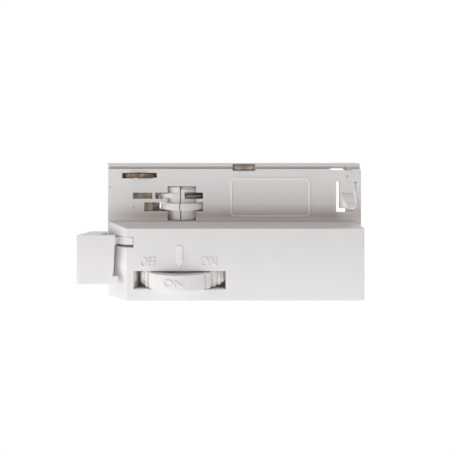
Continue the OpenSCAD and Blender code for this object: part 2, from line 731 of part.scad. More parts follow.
module lever_shaft() {
    color([0.85, 0.85, 0.84]) translate([lever_x, 0, 0]) rotate_extrude()
        polygon([[0, arm_z - 4.2], [lever_shaft_r, arm_z - 4.2], [lever_shaft_r, arm_z - 3.5], [lever_shaft_r - 0.6, arm_z - 3.5],
                 [lever_shaft_r - 0.6, arm_z - 2.7], [lever_shaft_r, arm_z - 2.7], [lever_shaft_r, deck_top + end_play],
                 [lever_post_r + 0.8, deck_top + end_play], [lever_post_r + 0.8, deck_top + 1.6], [lever_post_r, deck_top + 1.6],
                 [lever_post_r, lock_z], [lever_shaft_r - 0.1, lock_z], [lever_shaft_r - 0.1, lid_z + 0.6], [0, lid_z + 0.6]]);
}

module lever_clip() {
    color([0.55, 0.56, 0.58]) difference() {
        rod(lever_x, arm_z - 3.5, arm_z - 2.7, lever_shaft_r + 1.5);
        rod(lever_x, arm_z - 4, arm_z - 2, lever_shaft_r - 0.6);
        slab(lever_x, lever_x + 10, -1.4, 1.4, arm_z - 4, arm_z - 2);
    }
}

module lock_disc() {
    color([0.62, 0.5, 0.34]) translate([lever_x, 0, lock_z]) linear_extrude(lock_t) difference() {
        intersection() {
            circle(lock_r, $fn = 96);
            translate([-lock_shift, 0]) square([lock_w, 3 * lock_r], center = true);
        }
        circle(lever_shaft_r - 0.1);
    }
}

// One grip groove with a round floor, at angle a from the marked face
module grip_groove(a) {
    rotate([0, 0, a - 90]) translate([wheel_r - grip_deep + grip_w / 2, 0, -1]) {
        cylinder(r = grip_w / 2, h = wheel_t + 2, $fn = 24);
        translate([0, -grip_w / 2, 0]) cube([grip_deep + 1, grip_w, wheel_t + 2]);
    }
}

module thumbwheel() {
    color([0.94, 0.94, 0.93]) translate([selector_x, 0, wheel_z]) difference() {
        cylinder(r = wheel_r, h = wheel_t, $fn = 128);
        // Grips fill the rim between the pads of both positions
        for (a = [pad_right:grip_pitch:pad_left + selector_turn]) grip_groove(a);
        for (a = [pad_right + selector_turn:grip_pitch:360 + pad_left]) grip_groove(a);
        for (z = [-1, wheel_t - 1.8]) translate([0, 0, z]) difference() {
            cylinder(r = wheel_r - 3, h = 2.8);
            translate([0, 0, -1]) cylinder(r = selector_shaft_r + 3.2, h = 5);
        }
        translate([0, 0, -1]) cylinder(r = selector_shaft_r, h = wheel_t + 2);
    }
}

module selector_shaft() {
    color([0.85, 0.85, 0.84]) difference() {
        union() {
            rod(selector_x, 1, lid_z + 0.2, selector_shaft_r);
            rod(selector_x, cam_z, cam_z + cam_t, cam_r);
            rod(selector_x, wheel_z + wheel_t, cam_z + 1, selector_shaft_r + 1.5);
        }
        // Seats of the detent, one for each marked position
        for (a = [0, selector_turn]) rotate_about(selector_x, a) rod(selector_x + cam_r + seat_r / 2, cam_z - 1, cam_z + cam_t + 1, seat_r + 0.2);
    }
}

module rotate_about(x, a) {
    translate([x, 0, 0]) rotate([0, 0, a]) translate([-x, 0, 0]) children();
}

module detent_spring() {
    x0 = selector_x + cam_r + move_gap + seat_r;
    color([0.75, 0.76, 0.78]) {
        slab(x0, x0 + spring_t, -spring_w / 2, spring_w / 2, cam_z, deck_z);
        translate([x0, 0, cam_z + cam_t / 2]) rotate([90, 0, 0]) intersection() {
            cylinder(r = seat_r, h = spring_w - 1, center = true, $fn = 32);
            translate([spring_t / 2 - seat_r, 0, 0]) cube([2 * seat_r, 2 * seat_r, spring_w], center = true);
        }
    }
}

// Pie slice of a disc between two angles counted from the marked face towards +X, at most 90 degrees apart
module slice(r, a0, a1) {
    intersection() {
        circle(r, $fn = 96);
        rotate(a0 - 90) square([2 * r, 2 * r]);
        rotate(a1 - 180) square([2 * r, 2 * r]);
    }
}

module rotor_body(crown_r) {
    translate([selector_x, 0, 0]) difference() {
        union() {
            translate([0, 0, rotor_z]) cylinder(r = rotor_r, h = rotor_top - rotor_z, $fn = 96);
            translate([0, 0, deck_top + end_play]) cylinder(r = collar_r, h = rotor_top + 1.6 - deck_top - end_play);
            translate([0, 0, low_flange_z])
                cylinder(r = half_riser + middle_out, h = base_h + middle_rise - low_flange_z, $fn = 96);
            translate([0, 0, up_flange_z]) cylinder(r = crown_r, h = rotor_top - up_flange_z, $fn = 96);
            translate([0, 0, low_flange_z]) cylinder(r = half_riser + low_flange_out, h = low_flange_t, $fn = 96);
            translate([-flange_shift, 0, up_flange_z]) cylinder(r = flange_r, h = up_flange_t, $fn = 96);
        }
        translate([0, 0, deck_top - 1]) cylinder(r = selector_shaft_r, h = riser_top);
        // Pockets of the brass contacts
        translate([0, 0, up_flange_z - 0.4]) linear_extrude(up_flange_t + 0.8) difference() {
            slice(blade_r + 1, 8, 98);
            circle(rotor_r - 2.2);
        }
        translate([0, 0, blade_z]) linear_extrude(blade_t + 0.04) difference() {
            slice(blade_r, 11, 95);
            circle(rotor_r - 4.1);
        }
        translate([0, 0, low_flange_z + 0.6]) linear_extrude(low_flange_t) difference() {
            slice(blade_r + 1, 140, 230);
            circle(rotor_r - 2.2);
        }
    }
}

module rotor_left() {
    color([0.93, 0.93, 0.92]) intersection() {
        rotor_body(half_riser + middle_out);
        slab(selector_x - 2 * blade_r, selector_x + split_x - rotor_split / 2, -2 * blade_r, 2 * blade_r, 0, top_z);
    }
}

module rotor_right() {
    color([0.93, 0.93, 0.92]) intersection() {
        rotor_body(rotor_r);
        slab(selector_x + split_x + rotor_split / 2, selector_x + 2 * blade_r, -2 * blade_r, 2 * blade_r, 0, top_z);
    }
}

// Brass blade between two angles, with its root at radius r0
module contact_blade(a0, a1, z, r0) {
    translate([selector_x, 0, z]) linear_extrude(blade_t) difference() {
        slice(blade_r, a0, a1);
        circle(r0);
    }
}

// The upper blade stands in a slit of the rotor, the lower one lies on the floor of its pocket
module upper_contact() {
    color([0.72, 0.56, 0.32]) contact_blade(12, 94, blade_z, rotor_r - 4);
}

module lower_contact() {
    color([0.72, 0.56, 0.32]) contact_blade(144, 226, low_flange_z + 0.6, rotor_r - 2.1);
}

// Fixed brass strips behind the left part of the contact slots
module upper_strip() {
    color([0.66, 0.5, 0.3]) slab(selector_x - up_slot_left - 3, selector_x - slot_rib_x - 0.8, -riser_in, strip_t - riser_in,
                                 up_slot_z - 0.7, up_slot_z + up_slot_h + 1);
}

module lower_strip() {
    color([0.66, 0.5, 0.3]) slab(selector_x - low_slot_left - 3, selector_x - slot_rib_x - 0.8, -riser_in, strip_t - riser_in,
                                 low_slot_z - 1, low_slot_z + low_slot_h + 0.4);
}

module terminal_block() {
    color([0.88, 0.88, 0.87]) difference() {
        slab(block_x, block_x + block_len, -block_w / 2, block_w / 2, cover_t, cover_t + block_h);
        for (i = [-1, 0, 1]) {
            translate([block_x - 1, i * way_pitch, cover_t + 4]) rotate([0, 90, 0]) cylinder(r = way_r, h = block_len - 3);
            rod(block_x + clamp_x, cover_t + 4, cover_t + block_h + 1, clamp_r, i * way_pitch);
        }
        // Grooves between the ways
        for (y = [-way_pitch / 2, way_pitch / 2])
            slab(block_x - 1, block_x + block_len + 1, y - 0.5, y + 0.5, cover_t + block_h - 4, cover_t + block_h + 1);
    }
}

module terminal_screws() {
    color([0.7, 0.7, 0.72]) for (i = [-1, 0, 1]) difference() {
        rod(block_x + clamp_x, cover_t + block_h - 1.5 - clamp_len, cover_t + block_h - 1.5, clamp_r + screw_grip, i * way_pitch);
        translate([block_x + clamp_x, i * way_pitch, cover_t + block_h - 1.5]) cube([3 * clamp_r, 0.6, 1.6], center = true);
    }
}

housing();
top_cover();
base_cover();
cover_screws();
stem_bush();
earth_clip();
lever();
lever_shaft();
lever_clip();
lock_disc();
thumbwheel();
selector_shaft();
rotor_left();
rotor_right();
upper_contact();
lower_contact();
upper_strip();
lower_strip();
terminal_block();
terminal_screws();
detent_spring();
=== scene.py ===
# %% [markdown]
# A track light adapter in white moulded plastic: a wide base box that holds the thumbwheel, a slim riser
# that goes into the track, a swinging lock lever at the left end, and metal contacts that show in the slots.
# The solids come from the CAD frame in metres, so this file only dresses them: finishes, softened edges,
# raised words, thread and light.

import math

import bmesh
import bpy
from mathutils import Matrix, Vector


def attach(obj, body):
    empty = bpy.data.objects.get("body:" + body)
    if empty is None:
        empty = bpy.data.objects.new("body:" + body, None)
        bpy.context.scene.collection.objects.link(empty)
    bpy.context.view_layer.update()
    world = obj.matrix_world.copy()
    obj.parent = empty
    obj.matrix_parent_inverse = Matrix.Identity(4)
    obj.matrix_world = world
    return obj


MM = 0.001
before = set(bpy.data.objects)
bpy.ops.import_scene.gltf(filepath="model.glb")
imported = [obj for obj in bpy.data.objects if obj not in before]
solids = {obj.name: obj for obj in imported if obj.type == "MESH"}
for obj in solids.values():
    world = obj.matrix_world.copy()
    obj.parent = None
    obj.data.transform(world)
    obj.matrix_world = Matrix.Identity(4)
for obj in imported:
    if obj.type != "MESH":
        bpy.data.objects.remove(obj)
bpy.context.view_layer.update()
scene = bpy.context.scene

# %% [markdown]
# The photograph was taken from close by, straight at the marked face, with the lens level with the riser.
# A long lens from far off would flatten the part. A short lens near it gives the strong perspective, and a
# vertical shift frames it without tilting, so that upright edges stay upright.

# %% Camera
FRAME_PX = 452
MM_PER_PX = 0.4
HORIZON_PX = 180
SENSOR_MM = 36
NEAREST_MM = 5
FACE_Y_MM = -15
CAMERA_GAP_MM = 120
CAMERA_X_MM = -14
CAMERA_Z_MM = 48.3

lens_data = bpy.data.cameras.new("photo_lens")
lens_data.sensor_width = SENSOR_MM
lens_data.lens = SENSOR_MM * CAMERA_GAP_MM / (FRAME_PX * MM_PER_PX)
lens_data.shift_y = (HORIZON_PX - FRAME_PX / 2) / FRAME_PX
lens_data.clip_start = NEAREST_MM * MM
camera = bpy.data.objects.new("photo_camera", lens_data)
camera.location = (CAMERA_X_MM * MM, (FACE_Y_MM - CAMERA_GAP_MM) * MM, CAMERA_Z_MM * MM)
camera.rotation_euler = (math.radians(90), 0, 0)
scene.collection.objects.link(camera)
scene.camera = camera
print("lens", round(lens_data.lens, 2), "mm, shift", round(lens_data.shift_y, 3))

# %% [markdown]
# Every finish is written as an expression. Signal wraps one output of a node and turns + - and * into Math
# nodes, with their reflected forms, so that 1 - mask works as it reads. Its over(33, 53) climbs from 0 at
# 33 mm to 1 at 53 mm. Finish holds one material, or the sky, and makes any other node in one call: its type,
# its settings, then the values or links of its sockets.


# %% Shader helpers
class Signal:
    def __init__(self, finish, socket):
        self.finish = finish
        self.socket = socket

    def math(self, operation, *values):
        inputs = {i: v for i, v in enumerate(values)}
        return self.finish.node("ShaderNodeMath", {"operation": operation}, inputs)

    def __add__(self, other):
        return self.math("ADD", self, other)

    def __radd__(self, other):
        return self.math("ADD", other, self)

    def __sub__(self, other):
        return self.math("SUBTRACT", self, other)

    def __rsub__(self, other):
        return self.math("SUBTRACT", other, self)

    def __mul__(self, other):
        return self.math("MULTIPLY", self, other)

    def __rmul__(self, other):
        return self.math("MULTIPLY", other, self)

    def size(self):
        return self.math("ABSOLUTE", self)

    def between(self, low, high):
        settings = {"interpolation_type": "SMOOTHSTEP"}
        inputs = {"Value": self, "From Min": low, "From Max": high}
        return self.finish.node("ShaderNodeMapRange", settings, inputs)

    def over(self, low_mm, high_mm):
        return self.between(low_mm * MM, high_mm * MM)


class Finish:
    def __init__(self, owner, output="ShaderNodeOutputMaterial"):
        owner.use_nodes = True
        self.owner = owner
        self.tree = owner.node_tree
        self.tree.nodes.clear()
        self.output = self.tree.nodes.new(output)

    def node(self, kind, settings=None, inputs=None, out=0):
        made = self.tree.nodes.new(kind)
        for key, value in (settings or {}).items():
            setattr(made, key, value)
        for key, value in (inputs or {}).items():
            self.feed(made.inputs[key], value)
        return Signal(self, made.outputs[out])

    def feed(self, socket, value):
        if isinstance(value, Signal):
            self.tree.links.new(value.socket, socket)
        elif isinstance(value, (tuple, list)) and len(socket.default_value) == 4 and len(value) == 3:
            socket.default_value = (*value, 1)
        else:
            socket.default_value = value

    def show(self, shader):
        self.feed(self.output.inputs["Surface"], shader)
        return self.owner

    def place(self):
        return self.node("ShaderNodeTexCoord", out="Object")

    def along(self, where, axis):
        return self.node("ShaderNodeSeparateXYZ", {}, {0: where}, out=axis)

    def noise(self, where, per_metre, detail, roughness=0.5):
        inputs = {"Vector": where, "Scale": per_metre, "Detail": detail, "Roughness": roughness}
        return self.node("ShaderNodeTexNoise", {}, inputs)

    def stretch(self, where, scale):
        return self.node("ShaderNodeVectorMath", {"operation": "MULTIPLY"}, {0: where, 1: scale})

    def reach(self, where, spot):
        return self.node("ShaderNodeVectorMath", {"operation": "DISTANCE"}, {0: where, 1: spot}, out="Value")

    def tint(self, factor, low, high):
        inputs = {"Factor": factor, 6: low, 7: high}
        return self.node("ShaderNodeMix", {"data_type": "RGBA"}, inputs, out=2)

    def bump(self, height, strength, distance):
        inputs = {"Height": height, "Strength": strength, "Distance": distance}
        return self.node("ShaderNodeBump", {}, inputs)

    def surface(self, **sockets):
        inputs = {key.replace("_", " "): value for key, value in sockets.items()}
        return self.show(self.node("ShaderNodeBsdfPrincipled", {}, inputs))


print("helpers ready:", Signal.__name__, Finish.__name__)

# %% [markdown]
# Colour marks on the plastic: most are painted light and shade, two are dirt. The bead round the bare field
# is painted lighter and smoother, a painted highlight. The riser wall is painted darker towards the corner
# with the shoulder, less at its foot and its ends: a painted shade. Painted shade also darkens the seam, the
# rotor low down and the ends of the wheel's window, and two specks of dirt stick to the wall. It could be
# painted by hand on an unwrapped surface, but each mark has a known place, so a mask made of coordinates
# finds it and a noise breaks it up.

# %% Places of painted light and dirt
RISER_Y_MM = -9
WHEEL_X_MM = -32.6
WINDOW_HALF_MM = 18.45
SPECKS_XZ_MM = ((-62.8, 45.4), (-52.8, 37.0))


# Painted highlight: the raised bead round the bare field is made lighter, more so higher up.
def field_bead(finish, where, mottle):
    proud = 1 - finish.along(where, 1).over(-9.16, -9.04)
    z = finish.along(where, 2)
    highlight = 0.24 + 0.41 * z.over(35, 43)
    return proud * highlight * z.over(32, 33) * (1 - finish.along(where, 0).over(25, 26))


# Painted shade: the riser wall darker towards its corner with the shoulder, eased at its foot and its ends.
def corner_shade(finish, where, mottle):
    z = finish.along(where, 2)
    side = finish.along(where, 1).size()
    wall = (1 - side.over(9.3, 10.5)) * z.over(29, 30)
    tall_wall_shade = 1 - z.over(33, 53)
    crease_shade = 1 - z.over(33, 39.5)
    shade_eased_foot = 0.6 + 0.4 * z.over(31, 33.5)
    x = finish.along(where, 0)
    shade_eased_ends = (0.35 + 0.65 * x.over(-70, -42)) * (1 - 0.35 * x.over(31, 36))
    return wall * (0.46 * tall_wall_shade + 0.44 * crease_shade) * shade_eased_foot * shade_eased_ends * (0.85 + 0.3 * mottle)


def wall_specks(finish, where, mottle):
    specks = 0
    for x, z in SPECKS_XZ_MM:
        spot = (x * MM, RISER_Y_MM * MM, z * MM)
        specks = specks + (1 - finish.reach(where, spot).over(0.12, 0.42))
    return specks * 0.7


# Painted shade: the side walls at the ends of the wheel's window darker, most of all low down.
def window_end_shade(finish, where, mottle):
    side = finish.along(where, 1).size()
    in_wall = side.over(12.5, 13) * (1 - side.over(14.7, 14.95))
    off_middle = (finish.along(where, 0) - WHEEL_X_MM * MM).size()
    at_end = 1 - (off_middle - WINDOW_HALF_MM * MM).size().over(0.1, 0.25)
    z = finish.along(where, 2)
    low = 1 - z.over(5, 11)
    under_top = 1 - z.over(11.9, 12.2)
    return in_wall * at_end * under_top * (0.25 + 0.4 * low + 0.2 * mottle)


# Painted shade: the top cover darker along its lower edge, in the seam.
def seam_shade(finish, where, mottle):
    return (1 - finish.along(where, 2).over(53.95, 54.1)) * (0.28 + 0.3 * mottle)


# Painted shade: the rotor darker low down, inside its opening in the riser.
def rotor_low_shade(finish, where, mottle):
    z = finish.along(where, 2)
    return z.over(30.5, 31) * (1 - z.over(34.6, 36)) * (0.12 + 0.25 * mottle)


# The first colour below paints shade in the riser's corner, in the seam and low on the rotor.
SHADE_BROWN = (0.375, 0.33, 0.305)
# The next colour paints dark specks of dirt on the wall and painted shade at the ends of the wheel's window.
SOOT_AND_SHADE = (0.16, 0.14, 0.13)
# The next colour is a painted highlight on the bead round the bare field.
BEAD_HIGHLIGHT = (0.97, 0.965, 0.96)
shell_marks = (
    (corner_shade, SHADE_BROWN, 0.15),
    (field_bead, BEAD_HIGHLIGHT, -0.08),
    (wall_specks, SOOT_AND_SHADE, 0.2),
    (window_end_shade, SOOT_AND_SHADE, 0.15),
)
cover_marks = ((seam_shade, SHADE_BROWN, 0.15),)
inner_marks = ((rotor_low_shade, SHADE_BROWN, 0.15),)
print("places of painted light and dirt:", len(shell_marks + cover_marks + inner_marks))

# %% [markdown]
# The housing is white plastic moulded in a tool with a fine spark-eroded texture: nearly matt and faintly
# mottled. One flat colour would look like paper. Large soft noise gives the mottling, fine noise the texture,
# which goes into the roughness and, at a few microns, into a bump. The plastic is milky, so a little
# subsurface scattering softens its edges. Painted shade and dirt are rougher than the plastic, and the
# painted highlight on the bead is smoother. The raised marks get a lighter copy of the plastic: a painted
# highlight.

# %% White plastics
MOTTLE_PER_M = 55
FLOW_PER_M = (18, 60, 60)
PLASTIC_IOR = 1.48
SCATTER_RGB = (1.0, 0.9, 0.82)
SCATTER_MM = 1.5


def moulded_white(name, light, dark, roughness, grain_um, grain_mm, marks=()):
    finish = Finish(bpy.data.materials.new(name))
    where = finish.place()
    mottle = finish.noise(where, MOTTLE_PER_M, 3.0)
    flow = finish.noise(finish.stretch(where, FLOW_PER_M), 1.0, 4.0, 0.6)
    grain = finish.noise(where, 1 / (grain_mm * MM), 2.0, 0.6)
    shade = (0.6 * mottle + 0.4 * flow).between(0.3, 0.7)
    color = finish.tint(shade, dark, light)
    rough = roughness + 0.10 * (mottle - 0.5) + 0.08 * (grain - 0.5)
    for place, paint, rougher in marks:
        mask = place(finish, where, mottle)
        color = finish.tint(mask, color, paint)
        rough = rough + rougher * mask
    relief = finish.bump(grain + 0.35 * mottle, 0.35, grain_um * 1e-6)
    return finish.surface(Base_Color=color, Roughness=rough, Normal=relief, IOR=PLASTIC_IOR,
                          Subsurface_Weight=0.3, Subsurface_Radius=SCATTER_RGB,
                          Subsurface_Scale=SCATTER_MM * MM)


shell_white = moulded_white("shell_white", (0.863, 0.864, 0.868), (0.838, 0.839, 0.843),
                            roughness=0.46, grain_um=14, grain_mm=0.35, marks=shell_marks)
cover_white = moulded_white("cover_white", (0.785, 0.77, 0.76), (0.755, 0.74, 0.73),
                            roughness=0.44, grain_um=12, grain_mm=0.35, marks=cover_marks)
moving_white = moulded_white("moving_white", (0.873, 0.872, 0.874), (0.848, 0.847, 0.849),
                             roughness=0.40, grain_um=8, grain_mm=0.30)
inner_white = moulded_white("inner_white", (0.84, 0.825, 0.815), (0.80, 0.785, 0.775),
                            roughness=0.42, grain_um=8, grain_mm=0.30, marks=inner_marks)
# A lighter copy of the housing plastic for the raised words and arrow: a painted highlight.
mark_highlight_white = moulded_white("mark_highlight_white", (0.96, 0.955, 0.95), (0.93, 0.925, 0.92),
                           roughness=0.34, grain_um=4, grain_mm=0.30)
whites = (shell_white, cover_white, moving_white, inner_white, mark_highlight_white)
print("white plastics:", [white.name for white in whites])

# %% [markdown]
# The metal pieces are stamped from sheet: dull brass for the contacts and the lock disc, tinned sheet for the
# earth clip, zinc-plated steel for screws and springs. A plain mirror would look too new. Rolling leaves fine
# lines, so the noise is stretched along the sheet, and stains darken it in patches. The clip is painted dark
# at its edges, where it meets the seam: a painted shade.

# %% Sheet metals
ROLLING_PER_M = (300, 300, 6000)
ROLLING_DEPTH = 6e-6
CLIP_EDGE_SHADE = (0.10, 0.08, 0.07)


# Painted shade: the earth clip darker at its edges, where it sits in the seam.
def clip_edge_shade(finish, where):
    x = finish.along(where, 0)
    z = finish.along(where, 2)
    inside_x = x.over(-10.9, -10.0) * (1 - x.over(-3.0, -1.9))
    inside_z = z.over(52.45, 52.95) * (1 - z.over(54.2, 54.75))
    return 1 - inside_x * inside_z


def rolled_metal(name, bright, stained, roughness, stain_mm, edges=None):
    finish = Finish(bpy.data.materials.new(name))
    where = finish.place()
    lines = finish.noise(finish.stretch(where, ROLLING_PER_M), 1.0, 3.0, 0.6)
    stains = finish.noise(where, 1 / (stain_mm * MM), 4.0, 0.6).between(0.38, 0.68)
    color = finish.tint(stains, bright, stained)
    rough = roughness + 0.18 * stains + 0.10 * (lines - 0.5)
    if edges:
        color = finish.tint(edges(finish, where), color, CLIP_EDGE_SHADE)
    relief = finish.bump(lines, 0.3, ROLLING_DEPTH)
    return finish.surface(Base_Color=color, Roughness=rough, Normal=relief, Metallic=1.0)


contact_brass = rolled_metal("contact_brass", (0.40, 0.335, 0.265), (0.25, 0.205, 0.16),
                             roughness=0.34, stain_mm=2.2)
lock_metal = rolled_metal("lock_metal", (0.36, 0.265, 0.195), (0.175, 0.125, 0.088),
                          roughness=0.34, stain_mm=3.0)
earth_metal = rolled_metal("earth_metal", (0.46, 0.41, 0.37), (0.33, 0.29, 0.26),
                           roughness=0.44, stain_mm=2.5, edges=clip_edge_shade)
zinc_steel = rolled_metal("zinc_steel", (0.60, 0.60, 0.61), (0.45, 0.45, 0.46),
                          roughness=0.30, stain_mm=2.5)
metals = (contact_brass, lock_metal, earth_metal, zinc_steel)
print("sheet metals:", [metal.name for metal in metals])

# %% [markdown]
# The imported solids are triangles with sharp edges. Real moulded edges carry a small radius that catches the
# light. The radius could be cut into the meshes, but modifiers leave them as they came. Weld joins the
# triangles, Decimate merges flat ones again, Bevel rounds each edge that is really an edge, and weighted
# normals keep the flats flat. Each solid has its finish and its radius in millimetres.

# %% Dress the solids
WELD_GAP = 2e-6
FLAT_DEGREES = 1.0
EDGE_DEGREES = 32
EDGE_SEGMENTS = 2


def soften(solid, width_mm):
    weld = solid.modifiers.new("join", "WELD")
    weld.merge_threshold = WELD_GAP
    flats = solid.modifiers.new("flats", "DECIMATE")
    flats.decimate_type = "DISSOLVE"
    flats.angle_limit = math.radians(FLAT_DEGREES)
    edge = solid.modifiers.new("edge", "BEVEL")
    edge.width = width_mm * MM
    edge.segments = EDGE_SEGMENTS
    edge.limit_method = "ANGLE"
    edge.angle_limit = math.radians(EDGE_DEGREES)
    edge.harden_normals = False
    edge.use_clamp_overlap = True
    for polygon in solid.data.polygons:
        polygon.use_smooth = True
    even = solid.modifiers.new("even", "WEIGHTED_NORMAL")
    even.keep_sharp = True


dressing = {
    "housing": (shell_white, 0.22),
    "top_cover": (cover_white, 0.25),
    "base_cover": (cover_white, 0.15),
    "lever": (moving_white, 0.22),
    "thumbwheel": (moving_white, 0.14),
    "lever_shaft": (inner_white, 0.1),
    "selector_shaft": (inner_white, 0.1),
    "rotor_left": (inner_white, 0.15),
    "rotor_right": (inner_white, 0.15),
    "terminal_block": (inner_white, 0.2),
    "upper_contact": (contact_brass, 0.08),
    "lower_contact": (contact_brass, 0.08),
    "upper_strip": (contact_brass, 0.06),
    "lower_strip": (contact_brass, 0.06),
    "lock_disc": (lock_metal, 0.12),
    "earth_clip": (earth_metal, 0.08),
    "cover_screws": (zinc_steel, 0.06),
    "stem_bush": (zinc_steel, 0.2),
    "lever_clip": (zinc_steel, 0.06),
    "terminal_screws": (zinc_steel, 0.08),
    "detent_spring": (zinc_steel, 0.05),
}
for name, (material, width_mm) in dressing.items():
    solid = solids[name]
    solid.data.materials.clear()
    solid.data.materials.append(material)
    soften(solid, width_mm)
print("dressed", len(dressing), "of", len(solids), "solids")

# %% [markdown]
# The face carries raised words, and the wheel's smooth pads carry the same words. A bump could fake them, but
# their sides catch light and cast shade, so they are real shapes. Each word is set as text, turned into a
# mesh, scaled to its measured place and then either laid on the flat face or wrapped round the wheel's rim.


# %% Helpers for raised marks
def letters(word, thickness_mm):
    curve = bpy.data.curves.new(word, "FONT")
    curve.body = word
    curve.extrude = thickness_mm / 2
    curve.resolution_u = 6
    holder = bpy.data.objects.new(word, curve)
    scene.collection.objects.link(holder)
    shape = bpy.data.meshes.new_from_object(holder.evaluated_get(bpy.context.evaluated_depsgraph_get()))
    bpy.data.objects.remove(holder)
    return shape


def fit(shape, width_mm, height_mm):
    xs = [v.co.x for v in shape.vertices]
    ys = [v.co.y for v in shape.vertices]
    left, wide = min(xs), max(xs) - min(xs)
    foot, tall = min(ys), max(ys) - min(ys)
    for v in shape.vertices:
        v.co.x = ((v.co.x - left) / wide - 0.5) * width_mm
        v.co.y = ((v.co.y - foot) / tall - 0.5) * height_mm
    return shape


def on_face(shape, x_mm, z_mm):
    for v in shape.vertices:
        v.co = Vector((x_mm + v.co.x, FACE_Y_MM - v.co.z, z_mm + v.co.y)) * MM
    return shape


def round_rim(shape, radius_mm, z_mm, degrees):
    for v in shape.vertices:
        turn = math.radians(degrees) + v.co.x / radius_mm
        reach = radius_mm + v.co.z
        v.co = Vector((WHEEL_X_MM + reach * math.sin(turn), -reach * math.cos(turn), z_mm + v.co.y)) * MM
    return shape


def add_mark(name, shape, material, body):
    piece = bpy.data.objects.new(name, shape)
    shape.materials.clear()
    shape.materials.append(material)
    scene.collection.objects.link(piece)
    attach(piece, body)
    return piece


print("mark helpers ready:", letters.__name__, fit.__name__, on_face.__name__, round_rim.__name__)

# %% Raised words
RELIEF_MM = 0.7
WORD_Z_MM = 15.5
WHEEL_RELIEF_MM = 0.5
WHEEL_RADIUS_MM = 19
WHEEL_WORD_Z_MM = 8.2
WHEEL_WORD_TALL_MM = 2.9
marks = []
for name, word, width_mm, height_mm, x_mm in (
    ("mark_off", "OFF", 6.4, 3.8, -45.2),
    ("mark_on", "ON", 6.3, 4.0, -21.05),
):
    shape = on_face(fit(letters(word, RELIEF_MM), width_mm, height_mm), x_mm, WORD_Z_MM)
    marks.append(add_mark(name, shape, mark_highlight_white, "housing"))
for name, word, width_mm, degrees in (
    ("wheel_mark_on", "ON", 7.6, -6),
    ("wheel_mark_off", "OFF", 8.6, 99),
):
    flat = fit(letters(word, WHEEL_RELIEF_MM), width_mm, WHEEL_WORD_TALL_MM)
    shape = round_rim(flat, WHEEL_RADIUS_MM, WHEEL_WORD_Z_MM, degrees)
    marks.append(add_mark(name, shape, moving_white, "selector"))
print("words:", [mark.name for mark in marks])

# %% [markdown]
# A raised arrow on the face points down at the wheel. A letter of the font could serve, but few fonts have an
# arrow of this form, so its outline is drawn as one face and pulled back into the wall. Then all raised marks
# get a fine edge radius, because moulded letters are never sharp.

# %% Arrow
ARROW_Z_MM = 17.5
MARK_EDGE_MM = 0.12


def arrow_shape(shaft, head, head_tall, tall, thickness):
    half = tall / 2
    neck = head_tall - half
    outline = [(-shaft / 2, half), (-shaft / 2, neck), (-head / 2, neck), (0, -half),
               (head / 2, neck), (shaft / 2, neck), (shaft / 2, half)]
    solid = bmesh.new()
    face = solid.faces.new([solid.verts.new((x, y, thickness / 2)) for x, y in outline])
    sides = bmesh.ops.extrude_face_region(solid, geom=[face])
    moved = [g for g in sides["geom"] if isinstance(g, bmesh.types.BMVert)]
    bmesh.ops.translate(solid, verts=moved, vec=(0, 0, -thickness))
    bmesh.ops.recalc_face_normals(solid, faces=solid.faces)
    shape = bpy.data.meshes.new("arrow")
    solid.to_mesh(shape)
    solid.free()
    return shape


arrow_flat = arrow_shape(shaft=2.5, head=4.3, head_tall=3.6, tall=9.0, thickness=RELIEF_MM)
arrow = on_face(arrow_flat, WHEEL_X_MM, ARROW_Z_MM)
marks.append(add_mark("mark_arrow", arrow, mark_highlight_white, "housing"))
for mark in marks:
    edge = mark.modifiers.new("edge", "BEVEL")
    edge.width = MARK_EDGE_MM * MM
    edge.segments = EDGE_SEGMENTS
print("raised marks with edges:", len(marks))

# %% [markdown]
# The lamp's tube screws into the bush from below. Rings one above another would look like a thread from afar,
# but a thread is one ridge that climbs round the bore, so a small triangle is carried along a helix and each
# place is joined to the next. It sits a little inside the steel, so that no gap shows at its foot.

# %% Thread of the stem bush
THREAD_SINK_MM = 0.05
HALF_FOOT = 0.46


def thread_ridge(bore, tooth, pitch, low, turns, steps_per_turn):
    root = bore + THREAD_SINK_MM
    foot_rise = HALF_FOOT * pitch
    points = []
    for step in range(turns * steps_per_turn + 1):
        turn = math.tau * step / steps_per_turn
        middle_z = low + pitch * step / steps_per_turn
        for radius, rise in ((root, -foot_rise), (bore - tooth, 0), (root, foot_rise)):
            points.append(Vector((radius * math.cos(turn), radius * math.sin(turn), middle_z + rise)) * MM)
    last = len(points) - 3
    faces = [(0, 1, 2), (last + 2, last + 1, last)]
    for foot in range(0, last, 3):
        for side in range(3):
            after = (side + 1) % 3
            faces.append((foot + side, foot + side + 3, foot + after + 3, foot + after))
    shape = bpy.data.meshes.new("thread")
    shape.from_pydata(points, [], faces)
    return shape


ridge = thread_ridge(bore=4.5, tooth=0.4, pitch=1.0, low=0.9, turns=9, steps_per_turn=40)
thread = add_mark("bush_thread", ridge, zinc_steel, "housing")
print("thread faces:", len(thread.data.polygons))

# %% [markdown]
# The picture is soft and white. A flat floor would show a horizon, so a glowing sweep curves up behind the
# object, gives the white ground and lights every face that looks down. It dims in front of the frame, so that
# the corner between shoulder and riser stays in shade.

# %% Sweep
FLOOR_FRONT = -1.4
FLOOR_BACK = 0.35
CURVE_RADIUS = 0.25
CURVE_STEPS = 12
WALL_TOP = 1.2
HALF_WIDTH = 1.6
GLOW = 1.03
DIM_GREY = (0.40, 0.40, 0.40)
WHITE = (1.0, 1.0, 1.0)

